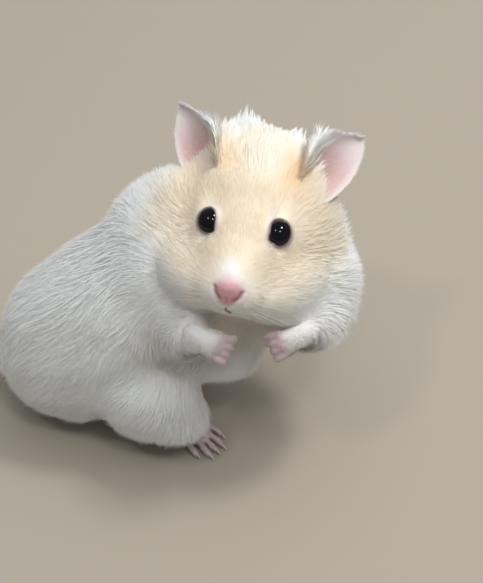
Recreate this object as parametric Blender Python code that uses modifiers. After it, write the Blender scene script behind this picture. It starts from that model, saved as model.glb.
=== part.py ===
"""A Syrian hamster, life size, sitting up on its haunches with its forepaws held to the chest.

The flesh is modelled as masses: ellipsoids, and runs of ellipsoids strung along a smooth path. They
are fused by a voxel Remesh, smoothed and thinned, and the fused body is then parted into head, neck,
trunk, legs and nose by cutters that leave a thin gap. Ears, eyes, paws, feet and tail are modelled on
their own and set against the body with the same gap. The surface is the outer surface of the coat.

Sizes are in millimetres here and the meshes are in metres. +Z is up, and the head faces -Y.
"""

import math

import bmesh
import bpy
from mathutils import Matrix, Vector

MM = 0.001
GAP = 0.3  # between two nodes that touch
BODY_VOXEL = 0.8
PAW_VOXEL = 0.42
BODY_TRIANGLES = 3200
PAW_TRIANGLES = 340
FOOT_TRIANGLES = 400

# The head, in its own axes: x to the animal's left, y back from the nose tip, z to the crown.
NOSE_TIP = (-3.6, -5.3, 62.4)
HEAD_YAW = -9.5
HEAD_PITCH = 18.5
HEAD_ROLL = 7.1
EYE_PLACES = {"left": (7.4, 15.4, 7.6), "right": (-7.6, 15.4, 6.8)}
EYE_RADIUS = 3.3
EAR_LENGTH = 18.5
EAR_THICKNESS = 0.8
EAR_COLUMNS = 5
EAR_STEPS = 2
EAR_TAPERS = {"left": 0.08, "right": 0.38}  # how much the inner margin draws in towards the tip
EAR_BASES = {"left": (12.0, 31, 12.5), "right": (-12.0, 30, 11.5)}
EAR_LINES = {"left": (0.50, 0.68, 0.50), "right": (-0.56, 0.62, 0.50)}  # from base to tip
EAR_FACINGS = {"left": (0.25, -0.80, 0.55), "right": (-0.35, -0.80, 0.50)}

SIDES = {"left": 1, "right": -1}

COLOURS = {  # linear colour and roughness
    "cream_coat": ((0.80, 0.69, 0.52), 0.9),
    "white_coat": ((0.80, 0.80, 0.77), 0.9),
    "bare_skin": ((0.56, 0.42, 0.41), 0.6),
    "eye_black": ((0.006, 0.005, 0.006), 0.08),
}
FINISHES = {
    "cream_coat": ("head",),
    "white_coat": ("neck", "trunk", "foreleg", "hindleg"),
    "bare_skin": ("ear", "nose", "forepaw", "hindfoot", "tail"),
    "eye_black": ("eye",),
}


# ------------------------------------------------------------------ tools


def clear_scene():
    for obj in list(bpy.data.objects):
        bpy.data.objects.remove(obj)


def new_collection(name):
    collection = bpy.data.collections.new(name)
    bpy.context.scene.collection.children.link(collection)
    return collection


def finish_of(node):
    """The material of a node, made when the first node asks for it."""
    name = next(name for name, members in FINISHES.items() if node.split("_")[0] in members)
    if name in bpy.data.materials:
        return bpy.data.materials[name]
    colour, roughness = COLOURS[name]
    material = bpy.data.materials.new(name)
    material.use_nodes = True
    shader = material.node_tree.nodes["Principled BSDF"]
    shader.inputs["Base Color"].default_value = (*colour, 1)
    shader.inputs["Roughness"].default_value = roughness
    shader.inputs["Metallic"].default_value = 0
    return material


def mesh_object(name, bm, collection):
    """An object that holds the bmesh, whose points are in millimetres."""
    mesh = bpy.data.meshes.new(name)
    bmesh.ops.scale(bm, vec=(MM, MM, MM), verts=bm.verts)
    bm.to_mesh(mesh)
    bm.free()
    obj = bpy.data.objects.new(name, mesh)
    collection.objects.link(obj)
    return obj


def frame_at(place, forward, up):
    """Axes whose -y is the forward direction and whose z is as near to up as that allows."""
    y = -Vector(forward).normalized()
    z = (Vector(up) - Vector(up).dot(y) * y).normalized()
    return Matrix.Translation(place) @ Matrix((y.cross(z), y, z)).transposed().to_4x4()


def unit_ball(rings=8):
    """The ball that every mass is stretched from."""
    bm = bmesh.new()
    bmesh.ops.create_uvsphere(bm, u_segments=2 * rings, v_segments=rings, radius=1)
    ball = bpy.data.meshes.new("unit_ball")
    bm.to_mesh(ball)
    bm.free()
    return ball


def add_ellipsoid(bm, frame, centre, radii, turn=(0, 0, 0)):
    """The unit ball stretched to three radii, turned by three angles in degrees, in a frame."""
    turned = Matrix.Identity(4)
    for axis, angle in zip("XYZ", turn):
        turned = Matrix.Rotation(math.radians(angle), 4, axis) @ turned
    ball = bpy.data.meshes.get("unit_ball") or unit_ball()
    mass = ball.copy()
    mass.transform(frame @ Matrix.Translation(centre) @ turned @ Matrix.Diagonal((*radii, 1)))
    bm.from_mesh(mass)
    bpy.data.meshes.remove(mass)


def between(a, b, c, d, t):
    """The Catmull-Rom point between b and c, for tuples of any length."""
    return [
        0.5 * (2 * q + (r - p) * t + (2 * p - 5 * q + 4 * r - s) * t**2 + (3 * q - p - 3 * r + s) * t**3)
        for p, q, r, s in zip(a, b, c, d)
    ]


def add_run(bm, frame, stations, steps=5):
    """Ellipsoids along a smooth path. A station is a place and a radius or three radii."""
    rows = []
    for place, radii in stations:
        radii = radii if isinstance(radii, tuple) else (radii,) * 3
        rows.append((*place, *radii))
    ends = [rows[0], *rows, rows[-1]]
    for i in range(len(rows) - 1):
        for step in range(steps):
            row = between(*ends[i : i + 4], step / steps)
            add_ellipsoid(bm, frame, row[:3], row[3:])
    add_ellipsoid(bm, frame, rows[-1][:3], rows[-1][3:])


def lobed(angle, width, height, power):
    """A point of a rounded section, an ellipse at power 2, leaner below that and fuller above."""
    x, z = math.cos(angle), math.sin(angle)
    across = math.copysign(abs(x) ** (2 / power), x)
    up = math.copysign(abs(z) ** (2 / power), z)
    return across * width, up * height


def add_loft(bm, frame, stations, around=40, steps=4):
    """A skin over sections along the frame's y axis.

    A station is y, half-width, then the heights of the top, of the widest level and of the bottom, and the
    fullness of the section above and below that level.
    """
    rows = [stations[0], *stations, stations[-1]]
    rings = []
    for i in range(len(stations) - 1):
        for step in range(steps + (i == len(stations) - 2)):
            y, width, top, level, bottom, above, below = between(*rows[i : i + 4], step / steps)
            ring = []
            for k in range(around):
                angle = 2 * math.pi * k / around
                upper = math.sin(angle) >= 0
                height, power = (top - level, above) if upper else (level - bottom, below)
                x, z = lobed(angle, width, height, power)
                ring.append(bm.verts.new(frame @ Vector((x, y, level + z))))
            rings.append(ring)
    for one, other in zip(rings, rings[1:]):
        for k in range(around):
            bm.faces.new((one[k], one[k - 1], other[k - 1], other[k]))
    bm.faces.new(rings[0])
    bm.faces.new(reversed(rings[-1]))


def evaluated(obj):
    """A new mesh of the object with its modifiers applied. The modifiers are removed from the object."""
    bpy.context.view_layer.update()
    mesh = bpy.data.meshes.new_from_object(obj.evaluated_get(bpy.context.evaluated_depsgraph_get()))
    obj.modifiers.clear()
    return mesh


def fuse(obj, voxel, smoothing, triangles):
    """Makes one skin of overlapping masses, rounds the creases between them and thins the mesh."""
    remesh = obj.modifiers.new("fuse", "REMESH")
    remesh.mode = "VOXEL"
    remesh.voxel_size = voxel * MM
    smooth = obj.modifiers.new("round", "SMOOTH")
    smooth.factor = 0.5
    smooth.iterations = smoothing
    obj.data = evaluated(obj)
    thin = obj.modifiers.new("thin", "DECIMATE")
    thin.ratio = triangles / (2 * len(obj.data.polygons))
    thin.use_collapse_triangulate = True
    obj.data = evaluated(obj)
    return obj


def cut(obj, cutter, operation):
    """Applies a Boolean to the object and does away with the cutter."""
    boolean = obj.modifiers.new("cut", "BOOLEAN")
    boolean.operation = operation
    boolean.object = cutter
    boolean.solver = "EXACT"
    obj.data = evaluated(obj)
    bpy.data.objects.remove(cutter)
    return obj


def copy_of(obj, name, collection):
    twin = obj.copy()
    twin.data = obj.data.copy()
    twin.name = name
    collection.objects.link(twin)
    return twin


def swollen(obj, collection):
    """A copy of the object that reaches beyond it by the gap."""
    twin = copy_of(obj, obj.name + "_gap", collection)
    swell = twin.modifiers.new("swell", "DISPLACE")
    swell.strength = GAP * MM
    swell.mid_level = 0
    twin.data = evaluated(twin)
    return twin


def keep_largest(obj):
    """Drops the crumbs that a cut leaves beside the main piece."""
    bm = bmesh.new()
    bm.from_mesh(obj.data)
    left = set(bm.verts)
    pieces = []
    while left:
        piece, edge = set(), [left.pop()]
        while edge:
            vert = edge.pop()
            piece.add(vert)
            near = {e.other_vert(vert) for e in vert.link_edges} & left
            left -= near
            edge += near
        pieces.append(piece)
    pieces.sort(key=len)
    for piece in pieces[:-1]:
        bmesh.ops.delete(bm, geom=list(piece), context="VERTS")
    bm.to_mesh(obj.data)
    bm.free()
    return obj


def part_off(body, name, zone, nodes):
    """Makes a node of the body's share inside a zone, and leaves a gap round the zone in the body."""
    piece = copy_of(body, name, nodes)
    cut(piece, zone(name + "_zone", 0, nodes), "INTERSECT")
    keep_largest(piece)
    cut(body, zone(name + "_gap", GAP, nodes), "DIFFERENCE")
    return piece


# ------------------------------------------------------------------ the masses of the body


def head_frame():
    return (
        Matrix.Translation(NOSE_TIP)
        @ Matrix.Rotation(math.radians(HEAD_YAW), 4, "Z")
        @ Matrix.Rotation(math.radians(-HEAD_PITCH), 4, "X")
        @ Matrix.Rotation(math.radians(HEAD_ROLL), 4, "Y")
    )


WORLD = Matrix.Identity(4)
HEAD = head_frame()

HEAD_SECTIONS = [  # y, half-width, heights of the top, the widest level and the bottom, and two fullnesses
    (-0.3, 2.2, 1.6, -0.6, -2.6, 2.0, 2.0),
    (1.2, 4.2, 2.8, -1.8, -5.6, 2.0, 2.0),
    (3.5, 6.0, 4.4, -2.4, -8.4, 2.0, 2.0),
    (6.5, 8.2, 6.8, -2.6, -10.2, 1.85, 2.0),
    (10.5, 11.4, 9.8, -3.2, -11.6, 1.65, 2.1),
    (15, 15.0, 12.9, -4.0, -13.2, 1.5, 2.2),
    (20, 19.2, 15.9, -4.6, -15.2, 1.55, 2.2),
    (25, 22.0, 18.4, -4.8, -17.0, 1.7, 2.2),
    (30, 22.4, 21.2, -4.4, -17.5, 1.8, 2.2),
    (36, 20.0, 22.8, -3.0, -16.5, 2.0, 2.1),
    (41, 16.0, 21.6, -1.0, -14.0, 2.0, 2.0),
    (45, 10.0, 17.0, 1.0, -9.0, 2.0, 2.0),
    (47.5, 3.0, 9.0, 2.0, -3.0, 2.0, 2.0),
]
SPINE = [  # from the rump up to the nape: place, then radii across x, y and z
    ((-53, 17, 13), (6, 8, 8)),
    ((-46, 17, 19), (13, 17, 17.5)),
    ((-34, 17.5, 23.2), (20, 21, 23.6)),
    ((-18, 20, 36), (22, 20.5, 22.5)),
    ((-9, 24, 47), (21, 17.5, 20)),
    ((1, 22, 52), (17, 15.5, 14)),
    ((0, 20, 58), (15, 15, 14)),
]
CHEST = ((4, 17, 41), (19.5, 13.5, 16.5))
BELLY = ((-7.5, 14, 29), (16, 12.5, 14.5))
SHOULDERS = {"left": ((15, 15, 44), (10.5, 11, 11)), "right": ((-12, 10, 42), (10, 10, 12))}
FORELEGS = {  # elbow to wrist
    "left": [((19, 11, 41), 6.6), ((16, 3.6, 41.5), 5.2), ((11.2, -3.0, 44.6), 3.4)],
    "right": [((-16, 8, 41), 7), ((-14.5, 0, 41.5), 5.4), ((-9.2, -4.8, 45.2), 3.4)],
}
THIGHS = {"left": ((-20, 29, 17), (13, 10, 15)), "right": ((-22, 1, 18), (12, 9, 13))}
SHANKS = {
    "left": [((-16, 30, 16), 8.5), ((-14.5, 30.5, 9.5), 6), ((-14, 30.5, 5), 3.9)],
    "right": [((-17.5, 0.5, 16), 8.5), ((-15, 0, 10), 6), ((-14.2, 0.8, 5.2), 3.9)],
}
FEET = {  # the heel on the floor, and the way the toes point, in degrees from +X
    "left": ((-17, 31, 0), 2),
    "right": ((-19, 8.5, 0), -44),
}
WRISTS = {"left": (11.4, -3.4, 44.6), "right": (-9.2, -5.2, 45.6)}
PAW_LINES = {"left": (-0.86, -0.40, -0.20), "right": (0.86, -0.40, -0.20)}  # from wrist to fingers
PAW_BACKS = {"left": (0.1, -0.75, 0.65), "right": (-0.1, -0.75, 0.65)}
TAIL = [((-50, 17, 9.5), 3.2), ((-56, 17.5, 7), 2.1), ((-60, 18.5, 5.4), 1.6), ((-63.5, 20, 4.6), 1.0)]
FORELEG_ZONES = {"left": ((19, 7, 39), (14, 13, 12.5)), "right": ((-15, 0, 40), (10.5, 11, 11))}
HINDLEG_ZONES = {"left": ((-17, 33, 13), (14, 12, 18)), "right": ((-19, -2, 13), (14, 11, 18))}
NOSE_ZONE = ((0, -0.6, 0.2), (4.1, 3.3, 3.0))
HEAD_ZONE = ((0, 23, 9), (29, 33, 28.5))  # in the axes of the head
NECK_ZONE = ((0, 23, 6), (32, 36, 33))


def add_head(bm):
    add_loft(bm, HEAD, HEAD_SECTIONS)
    add_ellipsoid(bm, HEAD, (0, 1.2, 0.2), (3.2, 2.4, 2.3))  # nose
    for side in SIDES.values():
        add_ellipsoid(bm, HEAD, (side * 3.4, 5.0, -3.0), (4.4, 4.8, 4.2))  # whisker pad
        add_ellipsoid(bm, HEAD, (side * 10.4, 17, -5.4), (9, 14, 8.4), (0, 0, -side * 26))  # cheek


def turned_outwards(obj):
    """Makes every face of a closed mesh look outwards."""
    bm = bmesh.new()
    bm.from_mesh(obj.data)
    bmesh.ops.recalc_face_normals(bm, faces=bm.faces)
    bm.to_mesh(obj.data)
    bm.free()
    return obj


def make_body(nodes):
    bm = bmesh.new()
    add_run(bm, WORLD, SPINE, steps=7)
    add_head(bm)
    for mass in (CHEST, BELLY):
        add_ellipsoid(bm, WORLD, *mass)
    for side in SIDES:
        add_ellipsoid(bm, WORLD, *SHOULDERS[side])
        add_ellipsoid(bm, WORLD, *THIGHS[side])
        add_run(bm, WORLD, FORELEGS[side])
        add_run(bm, WORLD, SHANKS[side])
    body = mesh_object("body", bm, nodes)
    return fuse(body, BODY_VOXEL, 14, BODY_TRIANGLES)


EAR_OUTLINE = [  # along the ear, then the inner and the outer margin, as shares of its length
    (-0.32, 0.06, 0.10),
    (-0.12, 0.24, 0.22),
    (0.10, 0.40, 0.27),
    (0.35, 0.48, 0.28),
    (0.60, 0.41, 0.24),
    (0.80, 0.28, 0.16),
    (0.94, 0.15, 0.08),
    (1.0, 0.05, 0.01),
]


def ear_sheet(inward, taper):
    """The middle sheet of an ear, upright and facing -y. Inward is the sign of x at its inner margin."""
    bm = bmesh.new()
    rows = [EAR_OUTLINE[0], *EAR_OUTLINE, EAR_OUTLINE[-1]]
    rings = []
    for i in range(len(EAR_OUTLINE) - 1):
        for step in range(EAR_STEPS + (i == len(EAR_OUTLINE) - 2)):
            along, inner, outer = between(*rows[i : i + 4], step / EAR_STEPS)
            inner *= 1 - taper * min(max(along + 0.05, 0), 1)
            ring = []
            for k in range(EAR_COLUMNS + 1):
                t = 2 * k / EAR_COLUMNS - 1
                across = inner * t if t > 0 else outer * t
                curl = 0.55 * across**2 / (0.2 + max(along, 0)) + 0.10 * max(t, 0) ** 3 - 0.06 * along**2
                place = Vector((across * inward, -curl, along)) * EAR_LENGTH
                ring.append(bm.verts.new(place))
            rings.append(ring)
    for one, other in zip(rings, rings[1:]):
        for k in range(EAR_COLUMNS):
            bm.faces.new((one[k], one[k + 1], other[k + 1], other[k]))
    return bm


def make_ear(side, nodes):
    """A cupped leaf with a wall, set on the side of the crown."""
    bm = ear_sheet(-SIDES[side], EAR_TAPERS[side])
    line, facing = Vector(EAR_LINES[side]), Vector(EAR_FACINGS[side])
    facing -= facing.project(line)
    bmesh.ops.transform(bm, matrix=HEAD @ frame_at(EAR_BASES[side], facing, line), verts=bm.verts)
    ear = mesh_object("ear_" + side, bm, nodes)
    wall = ear.modifiers.new("wall", "SOLIDIFY")
    wall.thickness = EAR_THICKNESS * MM
    wall.offset = 0
    ear.data = evaluated(ear)
    return turned_outwards(ear)


def make_eye(side, nodes):
    bm = bmesh.new()
    add_ellipsoid(bm, HEAD, EYE_PLACES[side], (EYE_RADIUS,) * 3)
    return mesh_object("eye_" + side, bm, nodes)


def make_foot(side, nodes):
    """A hind foot: heel, sole, ball and five spread toes with claws, the outer two set further back."""
    heel, heading = FEET[side]
    frame = Matrix.Translation(heel) @ Matrix.Rotation(math.radians(heading - 90), 4, "Z")
    sole = [((0, 2, 8), 3.0), ((0, 0, 2.6), 2.5), ((0, 6, 2.2), 2.3), ((0, 10.5, 1.8), (3.4, 3, 1.9))]
    bm = bmesh.new()
    add_run(bm, frame, sole)
    for toe in (-2, -1, 0, 1, 2):
        back = 2.6 if abs(toe) == 2 else 0
        joints = [
            ((toe * 1.5, 11.0 - back, 1.6), 1.3),
            ((toe * 1.9, 13.6 - back, 1.8), 1.2),
            ((toe * 2.2, 15.8 - back, 1.1), 1.15),
            ((toe * 2.3, 17.5 - back, 0.7), 0.55),
        ]
        add_run(bm, frame, joints)
    return fuse(mesh_object("hindfoot_" + side, bm, nodes), PAW_VOXEL, 2, FOOT_TRIANGLES)


def make_paw(side, nodes):
    """A forepaw, bent at the wrist, with four curled fingers, their claws and the stub of a thumb."""
    frame = frame_at(WRISTS[side], PAW_LINES[side], PAW_BACKS[side])
    palm = [((0, 2.5, -0.6), 2.7), ((0, 0, 0), (2.6, 2.4, 2.3)), ((0, -2.6, -0.3), (3.0, 2.8, 2.0))]
    bm = bmesh.new()
    add_run(bm, frame, palm)
    for finger in (-1.5, -0.5, 0.5, 1.5):
        joints = [
            ((finger * 1.45, -3.8, -0.3), 1.05),
            ((finger * 1.8, -5.4, -0.8), 0.95),
            ((finger * 1.9, -5.8, -2.2), 0.8),
            ((finger * 1.8, -4.9, -3.1), 0.45),
        ]
        add_run(bm, frame, joints)
    add_ellipsoid(bm, frame, (SIDES[side] * 2.8, -2.4, -1.4), (0.9, 1.2, 0.9))
    return fuse(mesh_object("forepaw_" + side, bm, nodes), PAW_VOXEL, 2, PAW_TRIANGLES)


def make_tail(nodes):
    bm = bmesh.new()
    add_run(bm, WORLD, TAIL)
    return fuse(mesh_object("tail", bm, nodes), 0.5, 3, 160)


def flattened(obj):
    """Cuts off what lies below the floor, so that the piece stands on a small flat."""
    bm = bmesh.new()
    bm.from_mesh(obj.data)
    geometry = list(bm.verts) + list(bm.edges) + list(bm.faces)
    found = bmesh.ops.bisect_plane(
        bm, geom=geometry, dist=1e-7, plane_co=(0, 0, 0), plane_no=(0, 0, -1), clear_outer=True
    )
    rim = [e for e in found["geom_cut"] if isinstance(e, bmesh.types.BMEdge)]
    bmesh.ops.holes_fill(bm, edges=rim, sides=0)
    bm.to_mesh(obj.data)
    bm.free()
    return obj


def ball_zone(frame, centre, radii):
    """A zone inside an ellipsoid."""

    def build(name, extra, collection):
        bm = bmesh.new()
        grown = [radius + extra for radius in radii]
        matrix = frame @ Matrix.Translation(centre) @ Matrix.Diagonal((*grown, 1))
        bmesh.ops.create_icosphere(bm, subdivisions=2, radius=1, matrix=matrix)
        return mesh_object(name, bm, collection)

    return build


def trim(piece, neighbour, nodes):
    """Cuts the piece back from its neighbour, leaving the gap."""
    return keep_largest(cut(piece, swollen(neighbour, nodes), "DIFFERENCE"))


def settle(nodes):
    """Moves the middle of the footprint's box to the origin."""
    corners = [vert.co for obj in nodes.objects for vert in obj.data.vertices]
    middle = [(min(co[axis] for co in corners) + max(co[axis] for co in corners)) / 2 for axis in (0, 1)]
    for obj in nodes.objects:
        obj.data.transform(Matrix.Translation((-middle[0], -middle[1], 0)))


def main():
    clear_scene()
    nodes = new_collection("syrian_hamster")
    body = flattened(make_body(nodes))
    for side in SIDES:
        trim(body, make_eye(side, nodes), nodes)
    part_off(body, "nose", ball_zone(HEAD, *NOSE_ZONE), nodes)
    for side in SIDES:
        part_off(body, "foreleg_" + side, ball_zone(WORLD, *FORELEG_ZONES[side]), nodes)
        part_off(body, "hindleg_" + side, ball_zone(WORLD, *HINDLEG_ZONES[side]), nodes)
    head = part_off(body, "head", ball_zone(HEAD, *HEAD_ZONE), nodes)
    part_off(body, "neck", ball_zone(HEAD, *NECK_ZONE), nodes)
    body.name = "trunk"
    keep_largest(body)
    for side in SIDES:
        trim(make_ear(side, nodes), head, nodes)
        paw = make_paw(side, nodes)
        foot = flattened(make_foot(side, nodes))
        for neighbour in (nodes.objects["foreleg_" + side], body, head):
            trim(paw, neighbour, nodes)
        for neighbour in (nodes.objects["hindleg_" + side], body):
            trim(foot, neighbour, nodes)
    trim(make_tail(nodes), body, nodes)
    settle(nodes)
    for obj in nodes.objects:
        obj.data.materials.append(finish_of(obj.name))


main()
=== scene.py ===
import math

import bmesh
import bpy
import numpy as np
from mathutils import Matrix, Vector, noise
from mathutils.bvhtree import BVHTree
from mathutils.kdtree import KDTree


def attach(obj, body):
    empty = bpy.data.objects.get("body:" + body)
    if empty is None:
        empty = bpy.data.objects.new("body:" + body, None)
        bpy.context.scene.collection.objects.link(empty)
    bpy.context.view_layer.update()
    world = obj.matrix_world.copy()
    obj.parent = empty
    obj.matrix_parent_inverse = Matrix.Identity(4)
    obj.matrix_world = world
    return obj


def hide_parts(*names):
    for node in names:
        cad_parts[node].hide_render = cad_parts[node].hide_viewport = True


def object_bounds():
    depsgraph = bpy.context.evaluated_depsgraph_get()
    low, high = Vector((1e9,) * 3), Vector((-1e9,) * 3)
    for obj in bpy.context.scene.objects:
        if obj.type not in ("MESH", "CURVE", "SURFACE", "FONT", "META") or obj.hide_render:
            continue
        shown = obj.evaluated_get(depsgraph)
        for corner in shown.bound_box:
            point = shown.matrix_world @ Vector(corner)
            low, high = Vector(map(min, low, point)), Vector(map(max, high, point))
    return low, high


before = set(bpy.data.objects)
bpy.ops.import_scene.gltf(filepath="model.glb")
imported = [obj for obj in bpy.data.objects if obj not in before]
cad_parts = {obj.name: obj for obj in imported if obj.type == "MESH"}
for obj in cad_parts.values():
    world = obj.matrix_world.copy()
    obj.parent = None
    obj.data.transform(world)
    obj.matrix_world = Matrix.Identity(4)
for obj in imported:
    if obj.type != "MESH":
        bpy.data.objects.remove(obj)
cad_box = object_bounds()

# ---------------------------------------------------------------- table, light and camera
# The animal sits on a plain pale table under one broad soft lamp from above. Three small ceiling lamps add
# a little light and give its eyes their points of shine. The camera looks down on it from the front.

MM = 0.001
CAMERA_AIM = Vector((17.41, -15.18, 52.8)) * MM
CAMERA_HEIGHT = math.radians(48)
CAMERA_DISTANCE = 0.320
CAMERA_LENS = 88.9


scene = bpy.context.scene


def placed(name, data):
    """A new object in the scene."""
    obj = bpy.data.objects.new(name, data)
    scene.collection.objects.link(obj)
    return obj


lens = bpy.data.cameras.new("camera")
lens.lens = CAMERA_LENS
lens.sensor_width = 36
lens.clip_start = 0.01
camera = placed("camera", lens)
back = Vector((0, -math.cos(CAMERA_HEIGHT), math.sin(CAMERA_HEIGHT)))
camera.location = CAMERA_AIM + CAMERA_DISTANCE * back
camera.rotation_euler = (math.pi / 2 - CAMERA_HEIGHT, 0, 0)
scene.camera = camera

LAMPS = {  # place, size, watts and colour
    "softbox": ((0.24, 0.12, 0.95), 1.30, 6.8, (0.95, 0.98, 1.0)),
    "ceiling_lamp_back": ((0.39, 0.18, 0.95), 0.17, 3.6, (1.0, 0.99, 0.97)),
    "ceiling_lamp_side": ((-0.38, -0.20, 0.95), 0.13, 1.1, (1.0, 0.99, 0.97)),
    "ceiling_lamp_front": ((0.20, -0.37, 0.95), 0.13, 1.3, (1.0, 0.99, 0.97)),
}
for name, (place, size, watts, colour) in LAMPS.items():
    light = bpy.data.lights.new(name, "AREA")
    light.size = size
    light.energy = watts
    light.color = colour
    lamp = placed(name, light)
    lamp.location = place
    lamp.rotation_euler = (CAMERA_AIM - Vector(place)).to_track_quat("-Z", "Y").to_euler()
    lamp.visible_glossy = name != "softbox"

world = bpy.data.worlds.new("room")
world.use_nodes = True
room_light = world.node_tree.nodes["Background"]
room_light.inputs["Color"].default_value = (0.86, 0.92, 1.0, 1)
room_light.inputs["Strength"].default_value = 0.21
scene.world = world
scene.view_settings.view_transform = "Standard"
scene.cycles.diffuse_bounces = 8


def plain_material(name, colour, roughness):
    """A new material and its Principled shader."""
    material = bpy.data.materials.new(name)
    material.use_nodes = True
    shader = material.node_tree.nodes["Principled BSDF"]
    shader.inputs["Base Color"].default_value = (*colour, 1)
    shader.inputs["Roughness"].default_value = roughness
    return material, shader


TABLE_REACH = 1.6
corners = [(x * TABLE_REACH, y * TABLE_REACH, 0) for x, y in ((-1, -1), (1, -1), (1, 1), (-1, 1))]
mesh = bpy.data.meshes.new("table")
mesh.from_pydata(corners, [], [(0, 1, 2, 3)])
table = placed("table", mesh)
material, _ = plain_material("table_paper", (0.42, 0.37, 0.30), 0.85)
mesh.materials.append(material)

# ---------------------------------------------------------------- skin
# One closed skin covers the whole animal from the nose to the tail. It lies inside the solids by the depth of
# the coat, and comes to the surface where the animal is bare: nose, ears, paws, feet and tail.

HEAD = Matrix.Translation((14.61, -23.28, 62.4))  # axes at the nose tip, turned with the head
for degrees, axis in ((-9.5, "Z"), (-18.5, "X"), (7.1, "Y")):
    HEAD = HEAD @ Matrix.Rotation(math.radians(degrees), 4, axis)
HEAD_TURN = np.array(HEAD.to_3x3())
HEAD_PLACE = np.array(HEAD.translation)
SHIFT = np.array((18.21, -17.98, 0.0))  # from the axes that the masses are measured in
SIDES = {"left": 1, "right": -1}
EYE_PLACES = {"left": np.array((7.4, 15.4, 7.6)), "right": np.array((-7.6, 15.4, 6.8))}  # from the nose tip
EYE_RADIUS = 3.3
MASSES = ("head", "neck", "trunk", "nose", "foreleg_left", "foreleg_right", "hindleg_left", "hindleg_right")
EYES = ("eye_left", "eye_right")
SEAM = 0.36  # how far each mass grows, so that neighbours merge
SKIN_VOXEL = 0.8
SKIN_STEPS = 8
DEEPER = 0.15  # how far the skin lies below the coat's own depth


def in_head_axes(points):
    """Points in millimetres, seen from the nose tip: x to the animal's left, y back, z to the crown."""
    return (points - HEAD_PLACE) @ HEAD_TURN


def ease(value, start, end):
    """0 before start, 1 after end, and a smooth rise between."""
    t = np.clip((value - start) / (end - start), 0, 1)
    return t * t * (3 - 2 * t)


def blended(one, other, share):
    """One value turning into the other while the share goes from 0 to 1."""
    return one * (1 - share) + other * share


def unit(vectors):
    """The vectors at a length of 1."""
    return vectors / np.maximum(np.linalg.norm(vectors, axis=-1), 1e-6)[..., None]


def beyond(points, centre, radii):
    """0 at the centre of an ellipsoid and 1 on its surface."""
    return np.linalg.norm((points - np.array(centre)) / np.array(radii), axis=1)


def from_eyes(head):
    """How far points in the axes of the head are from the nearer eye's middle."""
    return np.min([np.linalg.norm(head - place, axis=1) for place in EYE_PLACES.values()], axis=0)


def to_path(points, path):
    """Distance to a run of straight pieces, the share of the way along it, and its direction there."""
    path = np.array(path, float)
    steps = np.diff(path, axis=0)
    lengths = np.linalg.norm(steps, axis=1)
    best = np.full(len(points), 1e9)
    share = np.zeros(len(points))
    heading = np.zeros((len(points), 3))
    weight = np.zeros(len(points))
    for i, (start, step, length) in enumerate(zip(path[:-1], steps, lengths)):
        t = np.clip((points - start) @ step / length**2, 0, 1)
        away = np.linalg.norm(points - start - t[:, None] * step, axis=1)
        nearer = away < best
        best[nearer] = away[nearer]
        share[nearer] = (lengths[:i].sum() + t[nearer] * length) / lengths.sum()
        pull = np.exp(-((away / 9.0) ** 2)) + 1e-9
        heading += pull[:, None] * step / length
        weight += pull
    return best, share, heading / weight[:, None]


SPINE = np.array([
    (0, 20, 58), (1, 22, 52), (-9, 24, 47), (-18, 20, 36), (-34, 17.5, 23.2), (-46, 17, 19), (-53, 17, 13),
]) + SHIFT
FORELEGS = {
    "left": np.array([(19, 11, 41), (16, 3.6, 41.5), (11.2, -3.0, 44.6)]) + SHIFT,
    "right": np.array([(-16, 8, 41), (-14.5, 0, 41.5), (-9.2, -4.8, 45.2)]) + SHIFT,
}
SHANKS = {
    "left": np.array([(-16, 30, 18), (-14.5, 30.5, 9.5), (-14, 30.5, 5)]) + SHIFT,
    "right": np.array([(-17.5, 0.5, 18), (-15, 0, 10), (-14.2, 0.8, 5.2)]) + SHIFT,
}
TAIL_JOINTS = [(-56, 17.5, 7), (-60, 18.5, 5.4), (-63.5, 20, 4.6)]
TAIL = np.array([(-52, 17, 9), *TAIL_JOINTS]) + SHIFT
BODY_DEPTH = 1.2
LIMBS = (  # how much thinner the coat gets, between which shares of the way, and how far out that reaches
    (FORELEGS, 0.95, (0.25, 0.95), (7.0, 11.0)),
    (SHANKS, 1.0, (0.2, 0.9), (6.0, 10.0)),
)


def coat_depth(points):
    """How far the skin lies under the outer surface of the coat, in millimetres."""
    head = in_head_axes(points)
    across, behind, above = np.abs(head[:, 0]), head[:, 1], head[:, 2]
    face = np.interp(behind, (-1, 2, 5, 10, 16, 24, 32, 40), (0.0, 0.1, 0.25, 0.42, 0.6, 0.85, 1.0, 1.15))
    face += 0.35 * ease(across, 10, 18) * ease(behind, 11, 21) * (1 - ease(above, 4, 12))
    face *= 0.35 + 0.65 * ease(from_eyes(head), 3.6, 8.0)
    face += 1.4 * ease(behind, 27, 33) * (1 - ease(across, 7, 12)) * ease(above, 10, 16)
    on_head = 1 - ease(beyond(head, (0, 18, 3), (25, 27, 25)), 0.92, 1.25)
    depth = blended(BODY_DEPTH, face, on_head)
    for paths, thinning, along, around in LIMBS:
        for path in paths.values():
            away, share, _ = to_path(points, path)
            thin = BODY_DEPTH - thinning * ease(share, *along)
            depth = blended(depth, np.minimum(depth, thin), 1 - ease(away, *around))
    away, share, _ = to_path(points, TAIL)
    depth = blended(depth, np.minimum(depth, 0.15), 1 - ease(away, 2.5, 6.0))
    return np.minimum(depth, 0.5 + 0.2 * points[:, 2])


def coordinates(mesh):
    flat = np.empty(len(mesh.vertices) * 3, np.float32)
    mesh.vertices.foreach_get("co", flat)
    return flat.reshape(-1, 3).astype(float) / MM


def place_vertices(mesh, points):
    mesh.vertices.foreach_set("co", (points * MM).astype(np.float32).ravel())
    mesh.update()


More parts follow.
